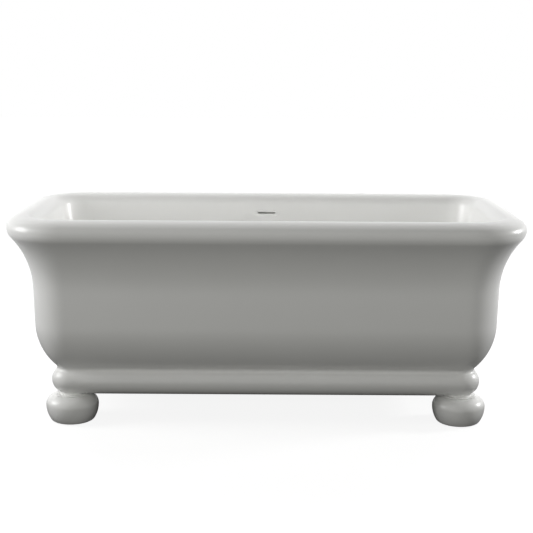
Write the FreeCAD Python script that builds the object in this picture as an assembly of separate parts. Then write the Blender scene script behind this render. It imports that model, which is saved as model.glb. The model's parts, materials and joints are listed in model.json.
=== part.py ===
import FreeCAD, Part
import math
import os

V = FreeCAD.Vector
os.makedirs("parts", exist_ok=True)

# Overall sizes, mm
LENGTH = 1600.0
WIDTH = 750.0
HEIGHT = 664.0

# Plan: every corner of the tub turns round one upright line, and the foot stands on that line
RIM_CORNER_R = 184.0
AX = LENGTH / 2 - RIM_CORNER_R
AY = WIDTH / 2 - RIM_CORNER_R

# Rim roll
ROLL_W = 57.0
ROLL_H = 37.0
TIP_R = 28.0
NOSE_R = 42.0
SEAM_ANGLE = 25.0
LIP_IN = 166.0
CHANNEL_R = 30.0
INNER_EDGE_R = 40.0
JOIN_DROP = 50.0

# Outer shell
SHELL_T = 6.0
FLARE_R = 252.0
WALL_OUT = 110.2
WALL_LEAN = 1.0
BELLY_Z = 323.0
BELLY_R = 196.0
ROLL_RING = 19.0
BASE_ROLL_R = 43.0
BASE_ROLL_Z = 137.0
CREASE_R = 10.0
PLATE_T = 7.0
BASE_Z = BASE_ROLL_Z - BASE_ROLL_R
PLATE_TOP = BASE_Z + PLATE_T
PLATE_EDGE_X = 76.0
PLATE_EDGE_Y = 81.0
PLATE_OPEN_R = 40.0

# Cradle, stacked up from the bottom plate
RAIL_W = 40.0
RAIL_H = 30.0
RAIL_T = 2.5
LONG_RAIL_OUT = 16.0
LONG_RAIL_HALF = AX + LONG_RAIL_OUT
CROSS_RAIL_HALF = AY + RAIL_W / 2
CROSS_RAIL_IN = 136.0
CROSS_RAIL_END = AX - CROSS_RAIL_IN
BOARD_HOLE_R = 65.0
HOLE_ROOM = 95.0
CROSS_RAIL_MID = BOARD_HOLE_R + HOLE_ROOM + RAIL_W / 2
CROSS_RAIL_X = {"left_outer": -CROSS_RAIL_END, "left_inner": -CROSS_RAIL_MID,
                "right_inner": CROSS_RAIL_MID, "right_outer": CROSS_RAIL_END}
LONG_Z = PLATE_TOP
CROSS_Z = LONG_Z + RAIL_H
BOARD_T = 18.0
BOARD_Z = CROSS_Z + RAIL_H
BOARD_IN = 46.0

# Basin
SKIN_T = 6.0
FLOOR_T = 7.0
FLOOR_Z = BOARD_Z + BOARD_T + FLOOR_T
WALL_ROOM = 34.8
CREASE_ROOM = 3.4
FLOOR_CORNER_R = 105.0
FLOOR_FILLET = 70.0
BACK_EDGE_R = FLOOR_FILLET + SKIN_T

# Waste, on the middle of the floor
BOSS_R = 52.0
BOSS_DROP = 7.0
RECESS_R = 38.0
RECESS_D = 5.0
WASTE_HOLE_R = 25.0
BARREL_R = 23.9
BARREL_BORE = 20.0
FLANGE_R = 36.5
FLANGE_T = 3.0
SEAL_T = 1.5
LOWER_SEAL_T = 3.0
SEAL_INSET = 1.0
TEE_R = 34.0
TEE_H = 34.0
TEE_WALL = 4.0
NUT_H = 12.0
NUT_FLATS = 64.0
TAIL_L = 40.0
RELIEF_W = 3.0
RELIEF_D = 0.9
BOSS_Z = FLOOR_Z - FLOOR_T - BOSS_DROP
RECESS_Z = FLOOR_Z - RECESS_D
FLANGE_Z = RECESS_Z + SEAL_T
TEE_TOP = BOSS_Z - LOWER_SEAL_T
TEE_Z = TEE_TOP - TEE_H
NUT_Z = TEE_Z - NUT_H
INLET_UP = 11.0
INLET_Z = TEE_Z + INLET_UP
INLET_L = 38.0
PORT_R = 5.0
TAIL_GAP = 5.0
TAIL_END = NUT_Z - TAIL_GAP - TAIL_L
THREAD_GAP = 0.1
SLIP_GAP = 0.3

# Push plug
CAP_R = 31.0
CAP_T = 7.0
CAP_EDGE_R = 4.0
PLUG_SEAL_T = 1.5
PLUG_SEAL_R = 28.0
PLUG_SEAL_HOLE = 22.0
STEM_R = 4.0
RUN_GAP = 0.05
CARTRIDGE_R = 7.0
CARTRIDGE_DROP = 10.0
CARTRIDGE_TOP = FLANGE_Z - CARTRIDGE_DROP
BAR_DROP = 56.5
BAR_Z = FLANGE_Z - BAR_DROP
BAR_T = 5.0
BAR_TOP = BAR_Z + BAR_T
BAR_W = 5.0
HUB_R = 9.0
HUB_HOLE = 5.0
HUB_TAIL = 2.0
SPRING_SEAT = 3.0
SPRING_H = 14.0
SPRING_R = 3.4
SPRING_BORE = 2.2
CAP_Z = FLANGE_Z + FLANGE_T + PLUG_SEAL_T

# Overflow, on the middle of the rear wall
OVERFLOW_DROP = 63.0
OVERFLOW_Z = HEIGHT - OVERFLOW_DROP
COVER = (84.0, 16.0, 2.5)
COVER_EDGE_R = 1.0
SLEEVE = (64.0, 9.0)
SLOT = (60.0, 5.5)
SLOT_GAP = 0.5
SLOT_HOLE = (SLEEVE[0] + 2 * SLOT_GAP, SLEEVE[1] + 2 * SLOT_GAP)
OVER_SEAL_T = 2.0
OVER_SEAL_INSET = 3.0
BODY = (90.0, 30.0, 21.0)
BODY_WALL = 2.5
HOSE_R = 10.0
HOSE_BORE = 7.5
HOSE_GAP = 2.5
HOSE_STOP = 2.0
HOSE_END_GAP = 10.0
HOSE_END = TEE_R + HOSE_END_GAP
SPIGOT_R = HOSE_BORE - THREAD_GAP
SPIGOT_BORE = 5.4
SPIGOT_L = 30.0
HOSE_BEND = 50.0
CLIP_T = 1.8
CLIP_W = 9.0
CLIP_INSET = 6.0

# Feet
BUN_R = 83.0
BUN_MID_Z = 54.0
BUN_TOP_Z = 88.0
BUN_BOTTOM_Z = 1.5
BUN_SIDE_R = 85.0
BUN_BASE_R = 16.0
NECK_RING_R = 52.0
NECK_Z = 92.0
NECK_R = 40.0
STUD_R = 6.0
STUD_HOLE = 6.6
STUD_BOTTOM = 44.0
STUD_PROUD = 4.0
INSERT_R = 9.0
INSERT_SEAT = 2.0
INSERT_Z = STUD_BOTTOM - INSERT_SEAT
WASHER_R = 12.0
WASHER_HOLE = 6.4
WASHER_T = 2.5
NUT_T = 10.0
NUT_AF = 18.0
PAD_R = 30.0
PAD_T = 6.0
PAD_GAP = 1.5
PAD_CHAMFER = 1.0
GLIDE_R = 5.0
GLIDE_TOP = 34.0
GLIDE_INSERT_R = 8.0
GLIDE_INSERT_TOP = 37.0
CORNERS = {"front_left": (-1, -1), "front_right": (1, -1), "rear_left": (-1, 1), "rear_right": (1, 1)}

# Fasteners of the cradle
BOLT_R = 4.0
BOLT_HOLE = 4.4
BOLT_HEAD_R = 6.5
BOLT_HEAD_H = 5.0
BOLT_NUT_AF = 13.0
BOLT_NUT_H = 6.5
BOLT_PROUD = 3.0
SCREW_R = 2.5
SCREW_HOLE = 2.8
SCREW_HEAD_R = 5.0
SCREW_HEAD_H = 3.0
SCREW_BITE = 12.0
SCREW_Y = 100.0

# Cutting tools run this far past the faces that they cut
PAST = 1.0

# Heights closer than this count as one when edges are picked
NEAR = 0.01


def save(name, shape):
    """Write one node."""
    shape.exportStep("parts/" + name + ".step")


def cyl(r, z0, z1, x=0.0, y=0.0):
    """Upright cylinder between two heights."""
    return Part.makeCylinder(r, z1 - z0, V(x, y, z0))


def tube(r_out, r_in, z0, z1, x=0.0, y=0.0):
    """Upright tube between two heights."""
    return cyl(r_out, z0, z1, x, y).cut(cyl(r_in, z0 - PAST, z1 + PAST, x, y))


def box(x0, x1, y0, y1, z0, z1):
    """Box from its limits."""
    return Part.makeBox(x1 - x0, y1 - y0, z1 - z0, V(x0, y0, z0))


def polar(c, r, deg):
    """Point of a circle about a centre, as a pair."""
    a = math.radians(deg)
    return (c[0] + r * math.cos(a), c[1] + r * math.sin(a))


def hex_nut(flats, hole, z0, z1, x=0.0, y=0.0):
    """Six-sided nut with a round hole, size across flats."""
    corners = [polar((x, y), flats / math.sqrt(3), 60 * k) for k in range(7)]
    wire = Part.makePolygon([V(px, py, z0) for px, py in corners])
    nut = Part.Face(wire).extrude(V(0, 0, z1 - z0))
    return nut.cut(cyl(hole, z0 - PAST, z1 + PAST, x, y))


def pt(p):
    """Profile point to space."""
    return V(p[0], 0, p[1])


def arc(c, r, a0, a1):
    """Arc in the profile plane from one angle to another."""
    mid = polar(c, r, (a0 + a1) / 2)
    return Part.Arc(pt(polar(c, r, a0)), pt(mid), pt(polar(c, r, a1))).toShape()


def line(p, q):
    """Straight edge in the profile plane."""
    return Part.makeLine(pt(p), pt(q))


def profile_face(edges):
    """Closed face from edges in order."""
    return Part.Face(Part.Wire(Part.__sortEdges__(edges)))


def angle_to(c, p):
    """Angle of a point seen from a centre, degrees."""
    return math.degrees(math.atan2(p[1] - c[1], p[0] - c[0]))


def meet(c1, r1, c2, r2):
    """Meeting point of two circles on the outer side."""
    dx, dz = c2[0] - c1[0], c2[1] - c1[1]
    d = math.hypot(dx, dz)
    a = (r1 * r1 - r2 * r2 + d * d) / (2 * d)
    h = math.sqrt(r1 * r1 - a * a)
    return (c1[0] + (a * dx + h * dz) / d, c1[1] + (a * dz - h * dx) / d)


def round_tub(face):
    """Carry a profile face once round the tub: four straight runs and four corners."""
    solids = []
    for k, (sx, sy) in enumerate(((1, 1), (-1, 1), (-1, -1), (1, -1))):
        corner = V(sx * AX, sy * AY, 0)
        start = face.copy()
        start.rotate(V(0, 0, 0), V(0, 0, 1), 90 * k)
        start.translate(corner)
        solids.append(start.revolve(corner, V(0, 0, 1), 90))
        end = face.copy()
        end.rotate(V(0, 0, 0), V(0, 0, 1), 90 * (k + 1))
        end.translate(corner)
        run = ((-2 * AX, 0), (0, -2 * AY), (2 * AX, 0), (0, 2 * AY))[k]
        solids.append(end.extrude(V(run[0], run[1], 0)))
    return solids[0].multiFuse(solids[1:]).removeSplitter()


def rounded_rect(a, b, r, z):
    """Wire of a rectangle with round corners, half sizes a and b."""
    turns = []
    for k, (sx, sy) in enumerate(((1, 1), (-1, 1), (-1, -1), (1, -1))):
        centre = (sx * (a - r), sy * (b - r))
        turns.append([V(*polar(centre, r, 90 * k + part), z) for part in (0, 45, 90)])
    edges = []
    for k, turn in enumerate(turns):
        edges.append(Part.Arc(*turn).toShape())
        edges.append(Part.makeLine(turn[2], turns[(k + 1) % 4][0]))
    return Part.Wire(edges)


def hopper(z0, z1, grow, fillet):
    """Sloped body of the basin between two heights, grown sideways, with a round bottom edge."""
    wires = []
    for z in (z0, z1):
        d = (z - FLOOR_Z) * SLOPE + grow
        share = (z - FLOOR_Z) / (JOIN_Z - FLOOR_Z)
        r = FLOOR_CORNER_R + (JOIN_OUT - FLOOR_CORNER_R) * share + grow
        wires.append(rounded_rect(FLOOR_HALF_X + d, FLOOR_HALF_Y + d, r, z))
    body = Part.makeLoft(wires, True, True)
    rim = [e for e in body.Edges if max(v.Z for v in e.Vertexes) < z0 + NEAR]
    return body.makeFillet(fillet, rim)


# Points and circles of the outer profile, measured out from the corner line
TIP = (RIM_CORNER_R, HEIGHT - ROLL_H)
CREST_X = RIM_CORNER_R - ROLL_W
INNER_C = (CREST_X, HEIGHT - INNER_EDGE_R)
NOSE_C = (TIP[0] - NOSE_R, TIP[1])
FLARE_REACH = WALL_OUT - NOSE_C[0] + FLARE_R * math.cos(math.radians(WALL_LEAN))
NOSE_ANGLE = math.degrees(math.acos(FLARE_REACH / (NOSE_R + FLARE_R)))
SEAM = polar(NOSE_C, NOSE_R, -SEAM_ANGLE)
FLARE_TOP = polar(NOSE_C, NOSE_R, -NOSE_ANGLE)
FLARE_C = polar(FLARE_TOP, FLARE_R, -NOSE_ANGLE)
WALL_TOP = polar(FLARE_C, FLARE_R, 180 - WALL_LEAN)
WALL_END = (WALL_TOP[0] - (WALL_TOP[1] - BELLY_Z) * math.tan(math.radians(WALL_LEAN)), BELLY_Z)
BELLY_C = polar(WALL_END, BELLY_R, 180 - WALL_LEAN)
ROLL_C = (ROLL_RING, BASE_ROLL_Z)
CREASE_C = meet(ROLL_C, BASE_ROLL_R + CREASE_R, BELLY_C, BELLY_R + CREASE_R)
CREASE_IN = meet(ROLL_C, BASE_ROLL_R - SHELL_T, BELLY_C, BELLY_R - SHELL_T)


def lean_past(p):
    """Lean of a wall that passes a point and runs into the rim's inner round."""
    dx, dz = INNER_C[0] - p[0], INNER_C[1] - p[1]
    return math.acos(INNER_EDGE_R / math.hypot(dx, dz)) - math.atan2(dz, dx)


# Slope of the basin's wall, which leaves the hose its room at the flare and at the crease
FLARE_LEAN = lean_past((WALL_OUT - SHELL_T - WALL_ROOM, WALL_TOP[1]))
CREASE_LEAN = lean_past((CREASE_IN[0] - CREASE_ROOM, FLOOR_Z))
SLOPE_ANGLE = max(FLARE_LEAN, CREASE_LEAN)
SLOPE = math.tan(SLOPE_ANGLE)
SKIN_OUT = SKIN_T / math.cos(SLOPE_ANGLE)
FLOOR_OUT = INNER_C[0] - INNER_EDGE_R / math.cos(SLOPE_ANGLE) - (INNER_C[1] - FLOOR_Z) * SLOPE
FLOOR_HALF_X = AX + FLOOR_OUT
FLOOR_HALF_Y = AY + FLOOR_OUT
JOIN_Z = HEIGHT - JOIN_DROP
JOIN_OUT = FLOOR_OUT + (JOIN_Z - FLOOR_Z) * SLOPE


def rim_face():
    """Section of the rim: inner round, crest, tip and lip."""
    half = math.atan((ROLL_H - TIP_R) / (ROLL_W - TIP_R))
    turn = 90 - 2 * math.degrees(half)
    crest_r = TIP_R + (ROLL_W - TIP_R) / math.cos(math.radians(turn))
    tip_c = (TIP[0] - TIP_R, TIP[1])
    crest_c = (CREST_X, HEIGHT - crest_r)
    under_z = HEIGHT - SKIN_T
    chan_c = (LIP_IN - CHANNEL_R, under_z - CHANNEL_R)
    wall = 180 - math.degrees(SLOPE_ANGLE)
    back_r = INNER_EDGE_R - SKIN_T
    join_in, join_out = (JOIN_OUT, JOIN_Z), (JOIN_OUT + SKIN_OUT, JOIN_Z)
    return profile_face([
        line(join_in, polar(INNER_C, INNER_EDGE_R, wall)),
        arc(INNER_C, INNER_EDGE_R, wall, 90),
        arc(crest_c, crest_r, 90, turn),
        arc(tip_c, TIP_R, turn, 0),
        arc(NOSE_C, NOSE_R, 0, -SEAM_ANGLE),
        line(SEAM, (LIP_IN, SEAM[1])),
        line((LIP_IN, SEAM[1]), (LIP_IN, chan_c[1])),
        arc(chan_c, CHANNEL_R, 0, 90),
        line((chan_c[0], under_z), (CREST_X, under_z)),
        arc(INNER_C, back_r, 90, wall),
        line(polar(INNER_C, back_r, wall), join_out),
        line(join_out, join_in),
    ])


def shell_face():
    """Section of the outer shell, from the seam under the rim to the bottom plate."""
    t = SHELL_T
    seam_in = (LIP_IN, SEAM[1])
    flare_dx = FLARE_C[0] - LIP_IN
    flare_in = (LIP_IN, FLARE_C[1] + math.sqrt((FLARE_R + t) ** 2 - flare_dx ** 2))
    wall_top_in = polar(FLARE_C, FLARE_R + t, 180 - WALL_LEAN)
    wall_end_in = polar(BELLY_C, BELLY_R - t, -WALL_LEAN)
    inside = ROLL_RING / 2
    low = BASE_ROLL_Z - PLATE_TOP
    low_in = (ROLL_RING + math.sqrt((BASE_ROLL_R - t) ** 2 - low ** 2), PLATE_TOP)
    return profile_face([
        arc(NOSE_C, NOSE_R, -SEAM_ANGLE, -NOSE_ANGLE),
        arc(FLARE_C, FLARE_R, 180 - NOSE_ANGLE, 180 - WALL_LEAN),
        line(WALL_TOP, WALL_END),
        arc(BELLY_C, BELLY_R, -WALL_LEAN, angle_to(BELLY_C, CREASE_C)),
        arc(CREASE_C, CREASE_R, angle_to(CREASE_C, BELLY_C), angle_to(CREASE_C, ROLL_C) + 360),
        arc(ROLL_C, BASE_ROLL_R, angle_to(ROLL_C, CREASE_C), -90),
        line((ROLL_RING, BASE_Z), (inside, BASE_Z)),
        line((inside, BASE_Z), (inside, PLATE_TOP)),
        line((inside, PLATE_TOP), low_in),
        arc(ROLL_C, BASE_ROLL_R - t, angle_to(ROLL_C, low_in), angle_to(ROLL_C, CREASE_IN)),
        arc(BELLY_C, BELLY_R - t, angle_to(BELLY_C, CREASE_IN), -WALL_LEAN),
        line(wall_end_in, wall_top_in),
        arc(FLARE_C, FLARE_R + t, 180 - WALL_LEAN, angle_to(FLARE_C, flare_in)),
        line(flare_in, seam_in),
        line(seam_in, SEAM),
    ])


# Frame of the overflow on the sloped rear wall: x along the tub, y up the wall, z into the basin
OVER_O = V(0, FLOOR_HALF_Y + (OVERFLOW_Z - FLOOR_Z) * SLOPE, OVERFLOW_Z)
WALL_UP = V(0, math.sin(SLOPE_ANGLE), math.cos(SLOPE_ANGLE))
WALL_IN = V(0, -math.cos(SLOPE_ANGLE), math.sin(SLOPE_ANGLE))
HOSE_W = -(SKIN_T + HOSE_R + HOSE_GAP)


def on_wall(shape):
    """Move a shape from the overflow frame into the tub."""
    out = shape.copy()
    out.rotate(V(0, 0, 0), V(1, 0, 0), 90 - math.degrees(SLOPE_ANGLE))
    out.translate(OVER_O)
    return out


def slot_prism(size, z0, z1):
    """Flat slot with round ends."""
    h = size[1] / 2
    d = size[0] / 2 - h
    mid = Part.makeBox(2 * d, size[1], z1 - z0, V(-d, -h, z0))
    ends = [Part.makeCylinder(h, z1 - z0, V(s * d, 0, z0)) for s in (-1, 1)]
    return mid.multiFuse(ends).removeSplitter()


def make_basin():
    """Inner skin with the rim, the waste recess and the overflow slot."""
    outer = hopper(FLOOR_Z - FLOOR_T, JOIN_Z, SKIN_OUT, BACK_EDGE_R)
    outer = outer.cut(hopper(FLOOR_Z, JOIN_Z + PAST, 0, FLOOR_FILLET))
    body = round_tub(rim_face()).fuse(outer)
    body = body.fuse(cyl(BOSS_R, BOSS_Z, FLOOR_Z - FLOOR_T / 2)).removeSplitter()
    body = body.cut(cyl(RECESS_R, RECESS_Z, FLOOR_Z + PAST))
    body = body.cut(cyl(WASTE_HOLE_R, BOSS_Z - PAST, FLOOR_Z + PAST))
    w, h = SLOT_HOLE
    return body.cut(on_wall(Part.makeBox(w, h, SKIN_T + 2 * PAST, V(-w / 2, -h / 2, -SKIN_T - PAST))))


def make_outer_shell():
    """Outer skin with its bottom plate and foot bosses."""
    edge = rounded_rect(AX + ROLL_RING, AY + ROLL_RING, ROLL_RING, BASE_Z)
    frame = Part.Face(edge).extrude(V(0, 0, PLATE_T))
    opening = Part.Face(rounded_rect(AX - PLATE_EDGE_X, AY - PLATE_EDGE_Y, PLATE_OPEN_R, BASE_Z - PAST))
    frame = frame.cut(opening.extrude(V(0, 0, PLATE_T + 2 * PAST)))
    body = round_tub(shell_face()).fuse(frame)
    feet = [(sx * AX, sy * AY) for sx, sy in CORNERS.values()]
    bosses = [cyl(NECK_R, NECK_Z, BASE_Z + PLATE_T / 2, x, y) for x, y in feet]
    holes = [cyl(STUD_HOLE, NECK_Z - PAST, PLATE_TOP + PAST, x, y) for x, y in feet]
    return body.multiFuse(bosses).cut(holes).removeSplitter()


def box_tube_x(x0, x1, y, z):
    """Box section along the tub."""
    w, h = RAIL_W / 2, RAIL_H
    out = box(x0, x1, y - w, y + w, z, z + h)
    w, z, h = w - RAIL_T, z + RAIL_T, h - 2 * RAIL_T
    return out.cut(box(x0 - PAST, x1 + PAST, y - w, y + w, z, z + h))


def box_tube_y(y0, y1, x, z):
    """Box section across the tub."""
    w, h = RAIL_W / 2, RAIL_H
    out = box(x - w, x + w, y0, y1, z, z + h)
    w, z, h = w - RAIL_T, z + RAIL_T, h - 2 * RAIL_T
    return out.cut(box(x - w, x + w, y0 - PAST, y1 + PAST, z, z + h))


def drill(shape, r, z0, z1, places):
    """Cut upright holes between two heights."""
    return shape.cut([cyl(r, z0 - PAST, z1 + PAST, x, y) for x, y in places])


def make_cradle():
    """Base board on four cross rails on two long rails."""
    bx, by = AX - BOARD_IN, AY - BOARD_IN
    board_top = BOARD_Z + BOARD_T
    board = box(-bx, bx, -by, by, BOARD_Z, board_top)
    board = drill(board, BOARD_HOLE_R, BOARD_Z, board_top, [(0, 0)])
    screw_at = [(x, sy * SCREW_Y) for x in CROSS_RAIL_X.values() for sy in (-1, 1)]
    save("base_board", drill(board, SCREW_HOLE, BOARD_Z, BOARD_Z + SCREW_BITE, screw_at))
    for name, y in (("front", -AY), ("rear", AY)):
        rail = box_tube_x(-LONG_RAIL_HALF, LONG_RAIL_HALF, y, LONG_Z)
        rail = drill(rail, BOLT_HOLE, CROSS_Z - RAIL_T, CROSS_Z, [(x, y) for x in CROSS_RAIL_X.values()])
        rail = drill(rail, STUD_HOLE, LONG_Z, LONG_Z + RAIL_T, [(-AX, y), (AX, y)])
        save("long_rail_" + name, rail)
    for name, x in CROSS_RAIL_X.items():
        rail = box_tube_y(-CROSS_RAIL_HALF, CROSS_RAIL_HALF, x, CROSS_Z)
        rail = drill(rail, BOLT_HOLE, CROSS_Z, BOARD_Z, [(x, -AY), (x, AY)])
        rail = drill(rail, SCREW_HOLE, CROSS_Z, BOARD_Z, [(x, -SCREW_Y), (x, SCREW_Y)])
        save("cross_rail_" + name, rail)
    make_cradle_fasteners(screw_at)


def make_cradle_fasteners(screw_at):
    """Bolts and nuts where the rails cross, and the screws of the board."""
    bolts, nuts, screws = [], [], []
    nut_top = CROSS_Z - RAIL_T
    nut_z = nut_top - BOLT_NUT_H
    for x in CROSS_RAIL_X.values():
        for y in (-AY, AY):
            head = cyl(BOLT_HEAD_R, BOARD_Z, BOARD_Z + BOLT_HEAD_H, x, y)
            shank = cyl(BOLT_R, nut_z - BOLT_PROUD, BOARD_Z, x, y)
            bolts.append(head.fuse(shank).removeSplitter())
            nuts.append(hex_nut(BOLT_NUT_AF, BOLT_R + THREAD_GAP, nut_z, nut_top, x, y))
    for x, y in screw_at:
        head = cyl(SCREW_HEAD_R, CROSS_Z - SCREW_HEAD_H, CROSS_Z, x, y)
        shank = cyl(SCREW_R, CROSS_Z, BOARD_Z + SCREW_BITE, x, y)
        screws.append(head.fuse(shank).removeSplitter())
    save("rail_bolts", Part.makeCompound(bolts))
    save("rail_nuts", Part.makeCompound(nuts))
    save("board_screws", Part.makeCompound(screws))


def bun_face():
    """Half section of the bun foot, before its holes."""
    side_c = (BUN_R - BUN_SIDE_R, BUN_MID_Z)
    reach = BUN_SIDE_R - BUN_BASE_R
    drop = BUN_MID_Z - BUN_BOTTOM_Z - BUN_BASE_R
    low = math.degrees(math.asin(drop / reach))
    base_c = polar(side_c, reach, -low)
    top_r = BUN_TOP_Z - BUN_MID_Z
    top_c = (BUN_R - top_r, BUN_MID_Z)
    return profile_face([
        line((0, BUN_TOP_Z), (top_c[0], BUN_TOP_Z)),
        arc(top_c, top_r, 90, 0),
        arc(side_c, BUN_SIDE_R, 0, -low),
        arc(base_c, BUN_BASE_R, -low, -90),
        line((base_c[0], BUN_BOTTOM_Z), (0, BUN_BOTTOM_Z)),
        line((0, BUN_BOTTOM_Z), (0, BUN_TOP_Z)),
    ])


def make_bun():
    """Bun foot with its recess for the glide and its insert holes."""
    bun = bun_face().revolve(V(0, 0, 0), V(0, 0, 1), 360)
    bun = bun.cut(cyl(PAD_R + PAD_GAP, 0, PAD_T))
    bun = bun.cut(cyl(GLIDE_INSERT_R, 0, GLIDE_INSERT_TOP))
    return bun.cut(cyl(INSERT_R, INSERT_Z, BUN_TOP_Z + PAST))


def make_neck_ring():
    """Flat ring with a round edge between bun and tub."""
    r = (NECK_Z - BUN_TOP_Z) / 2
    c = (NECK_RING_R - r, BUN_TOP_Z + r)
    return profile_face([
        line((STUD_HOLE, NECK_Z), (c[0], NECK_Z)),
        arc(c, r, 90, -90),
        line((c[0], BUN_TOP_Z), (STUD_HOLE, BUN_TOP_Z)),
        line((STUD_HOLE, BUN_TOP_Z), (STUD_HOLE, NECK_Z)),
    ]).revolve(V(0, 0, 0), V(0, 0, 1), 360)


def round_edges(shape, z):
    """Round edges of an upright turned shape at one height."""
    return [e for e in shape.Edges if len(e.Vertexes) == 1 and abs(e.Vertexes[0].Z - z) < NEAR]


def make_feet():
    """Bun, neck ring and levelling glide at each corner, with their inserts, studs and nuts."""
    pad = cyl(PAD_R, 0, PAD_T)
    pad = pad.makeChamfer(PAD_CHAMFER, round_edges(pad, 0))
    singles = {
        "foot_bun_": make_bun(),
        "neck_ring_": make_neck_ring(),
        "levelling_glide_": pad.fuse(cyl(GLIDE_R, PAD_T, GLIDE_TOP)).removeSplitter(),
    }
    washer_z = LONG_Z + RAIL_T
    nut_z = washer_z + WASHER_T
    nut_top = nut_z + NUT_T
    groups = {
        "foot_stud_inserts": tube(INSERT_R, STUD_R + THREAD_GAP, INSERT_Z, BUN_TOP_Z),
        "glide_inserts": tube(GLIDE_INSERT_R, GLIDE_R + RUN_GAP, PAD_T, GLIDE_INSERT_TOP),
        "foot_studs": cyl(STUD_R, STUD_BOTTOM, nut_top + STUD_PROUD),
        "foot_washers": tube(WASHER_R, WASHER_HOLE, washer_z, nut_z),
        "foot_nuts": hex_nut(NUT_AF, STUD_R + THREAD_GAP, nut_z, nut_top),
    }
    corners = {name: V(sx * AX, sy * AY, 0) for name, (sx, sy) in CORNERS.items()}
    for start, shape in singles.items():
        for corner, at in corners.items():
            save(start + corner, shape.translated(at))
    for name, shape in groups.items():
        save(name, Part.makeCompound([shape.translated(at) for at in corners.values()]))


def make_waste_flange():
    """Flange and threaded barrel with the cross that holds the plug's cartridge."""
    flange = cyl(BARREL_R, TAIL_END, FLANGE_Z + FLANGE_T)
    flange = flange.fuse(cyl(FLANGE_R, FLANGE_Z, FLANGE_Z + FLANGE_T))
    flange = flange.cut(cyl(BARREL_BORE, TAIL_END - PAST, FLANGE_Z + FLANGE_T + PAST))
    reach = (BARREL_BORE + BARREL_R) / 2
    half = BAR_W / 2
    flange = flange.fuse(box(-reach, reach, -half, half, BAR_Z, BAR_TOP))
    flange = flange.fuse(box(-half, half, -reach, reach, BAR_Z, BAR_TOP))
    flange = flange.fuse(cyl(HUB_R, BAR_Z, BAR_TOP))
    flange = flange.cut(cyl(HUB_HOLE, BAR_Z - PAST, BAR_TOP + PAST))
    relief_z = TAIL_END + TAIL_L
    flange = flange.cut(tube(BARREL_R + PAST, BARREL_R - RELIEF_D, relief_z, relief_z + RELIEF_W))
    mid = V(0, 0, TEE_Z + TEE_H / 2)
    ports = [Part.makeCylinder(PORT_R, 2 * TEE_R, mid - d * TEE_R, d) for d in (V(1, 0, 0), V(0, 1, 0))]
    return flange.cut(ports).removeSplitter()


def make_waste_tee():
    """Hollow tee round the barrel, with the spigot that takes the overflow hose."""
    y = V(0, 1, 0)
    hole = BARREL_R + SLIP_GAP
    tee = cyl(TEE_R, TEE_Z, TEE_TOP)
    tee = tee.fuse(Part.makeCylinder(SPIGOT_R, TEE_R / 2 + INLET_L, V(0, TEE_R / 2, INLET_Z), y))
    tee = tee.cut(cyl(TEE_R - TEE_WALL, TEE_Z + TEE_WALL, TEE_TOP - TEE_WALL))
    tee = tee.cut(cyl(hole, TEE_Z - PAST, TEE_TOP + PAST))
    bore = Part.makeCylinder(SPIGOT_BORE, TEE_R + INLET_L, V(0, TEE_R / 4, INLET_Z), y)
    return tee.cut(bore).removeSplitter()


def make_waste():
    """Waste flange, seals, tee and backnut."""
    save("waste_flange", make_waste_flange())
    save("waste_tee", make_waste_tee())
    hole = WASTE_HOLE_R + SEAL_INSET
    save("waste_seal_upper", tube(FLANGE_R - SEAL_INSET, hole, RECESS_Z, FLANGE_Z))
    save("waste_seal_lower", tube(TEE_R - SEAL_INSET, BARREL_R + SLIP_GAP, TEE_TOP, BOSS_Z))
    save("waste_backnut", hex_nut(NUT_FLATS, BARREL_R + THREAD_GAP, NUT_Z, TEE_Z))


def make_plug():
    """Push plug: cap, seal and stem, which slide in a cartridge over a spring."""
    spring_z = BAR_TOP + SPRING_SEAT
    stem_z = spring_z + SPRING_H
    cart = cyl(CARTRIDGE_R, BAR_TOP, CARTRIDGE_TOP)
    cart = cart.fuse(cyl(HUB_HOLE - THREAD_GAP, BAR_Z - HUB_TAIL, BAR_TOP))
    cart = cart.cut(cyl(STEM_R + RUN_GAP, spring_z, CARTRIDGE_TOP + PAST))
    save("plug_cartridge", cart.removeSplitter())
    save("plug_spring", tube(SPRING_R, SPRING_BORE, spring_z, stem_z))
    save("plug_stem", cyl(STEM_R, stem_z, CAP_Z))
    save("plug_seal", tube(PLUG_SEAL_R, PLUG_SEAL_HOLE, CAP_Z - PLUG_SEAL_T, CAP_Z))
    cap = cyl(CAP_R, CAP_Z, CAP_Z + CAP_T)
    save("plug_cap", cap.makeFillet(CAP_EDGE_R, round_edges(cap, CAP_Z + CAP_T)))


def hose_points():
    """Corners of the hose's middle line: down the wall, round the floor's edge, level to the tee."""
    down = WALL_UP * -1
    start = OVER_O + down * (BODY[1] / 2 + HOSE_STOP) + WALL_IN * HOSE_W
    edge_in = BACK_EDGE_R * math.tan((math.pi / 2 - SLOPE_ANGLE) / 2)
    floor_half = FLOOR_HALF_Y + SKIN_OUT - FLOOR_T * SLOPE
    edge_c = V(0, floor_half - edge_in, FLOOR_Z - FLOOR_T + BACK_EDGE_R)
    across = V(0, AY + CREASE_IN[0], CREASE_IN[1]) - edge_c
    reach = (BACK_EDGE_R + across.Length) / 2
    across.normalize()
    mid = edge_c + across * reach
    along = V(0, across.z, -across.y)
    gap = mid - start
    run = (gap.y * along.z - gap.z * along.y) / (down.y * along.z - down.z * along.y)
    low = mid + along * ((INLET_Z - mid.z) / along.z)
    return [start, start + down * run, low, V(0, HOSE_END, INLET_Z)]


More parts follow.
